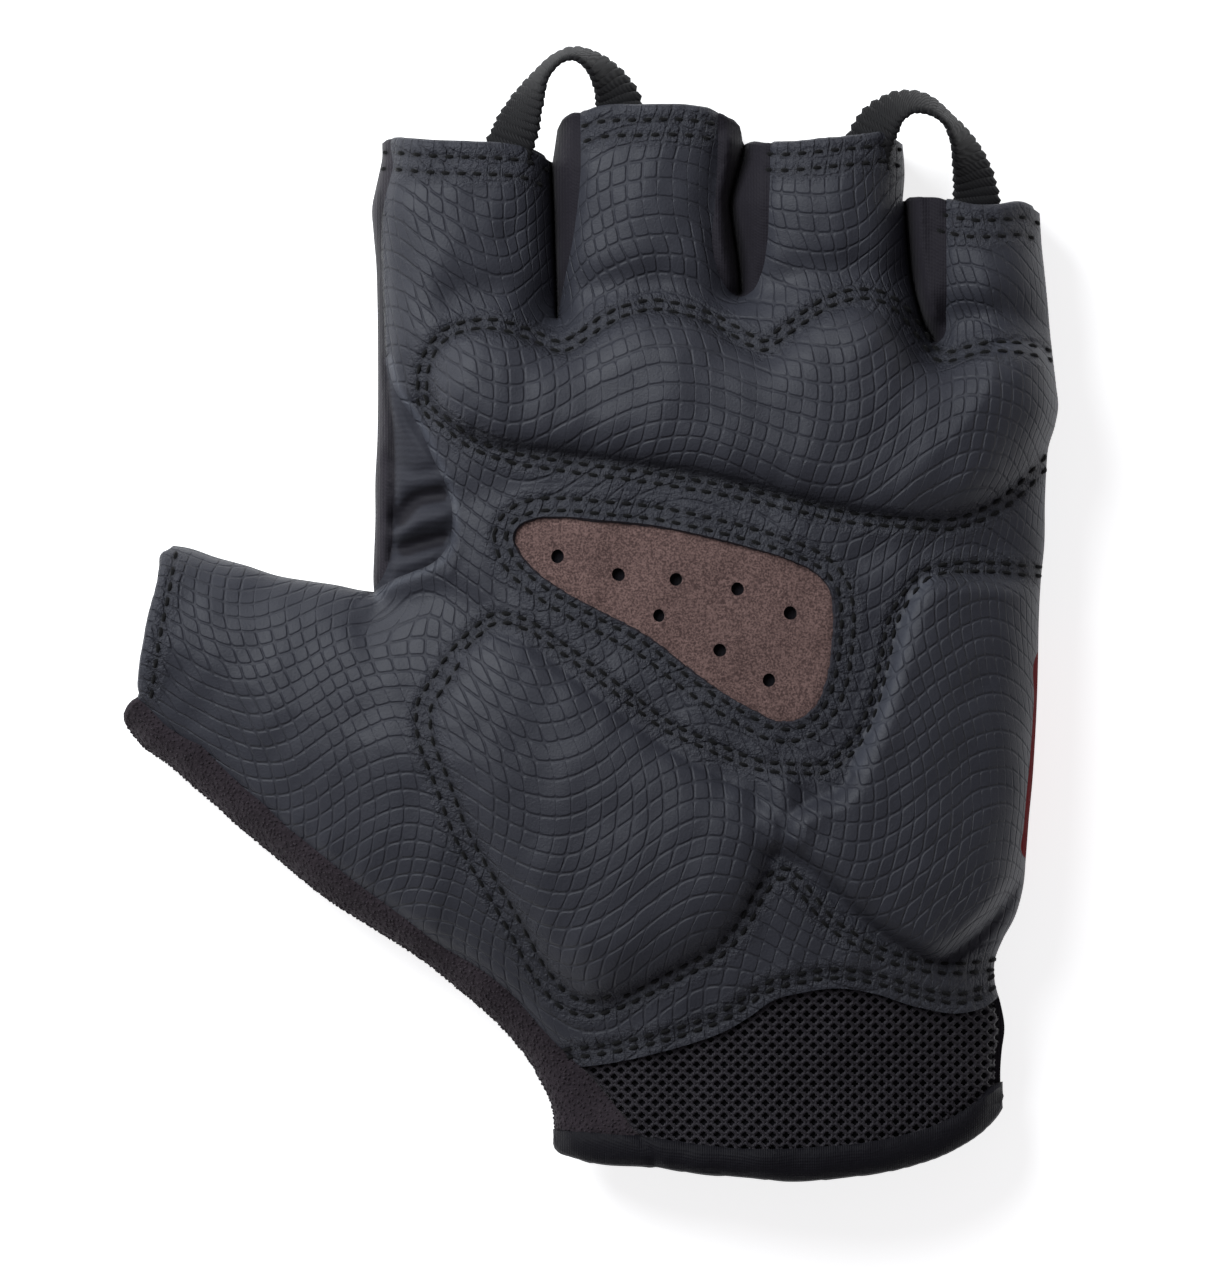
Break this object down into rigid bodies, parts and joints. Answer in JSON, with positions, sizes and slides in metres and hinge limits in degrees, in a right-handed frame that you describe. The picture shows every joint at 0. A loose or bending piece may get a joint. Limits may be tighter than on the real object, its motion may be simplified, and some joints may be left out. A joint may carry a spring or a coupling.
{
  "type": "fingerless cycling glove",
  "caption": "Fingerless cycling glove for the left hand, lying palm up: padded embossed leather palm, perforated suede inset, mesh wrist and webbing pull loops at the fingertips.",
  "frame": {"origin": "on the flat underside that the glove lies on, below the index side of the palm", "axes": "+Z out of the palm, +Y towards the fingers, -X towards the thumb"},
  "size_m": [0.1386, 0.1697, 0.0289],
  "materials": {
    "leather": "embossed wavy grain, satin",
    "suede": "matt nap, perforated",
    "stretch_cloth": "smooth matt stretch knit",
    "terry": "short looped pile",
    "mesh": "open hexagonal net",
    "binding": "smooth folded tape",
    "webbing": "ribbed woven tape",
    "trim": "matt knit"
  },
  "bodies": {
    "root": {"palm_panel": "leather", "knuckle_pad": "leather", "thenar_pad": "leather", "hypothenar_pad": "leather", "suede_patch": "suede", "fourchette_index_middle": "stretch_cloth", "fourchette_middle_ring": "stretch_cloth", "fourchette_ring_little": "stretch_cloth", "thumb_gusset": "stretch_cloth", "back_panel": "stretch_cloth", "thumb_back": "terry", "mesh_cuff": "mesh", "cuff_binding": "binding", "side_trim": "trim", "pull_loop_index_middle": "webbing", "pull_loop_ring_little": "webbing"}
  },
  "joints": []
}
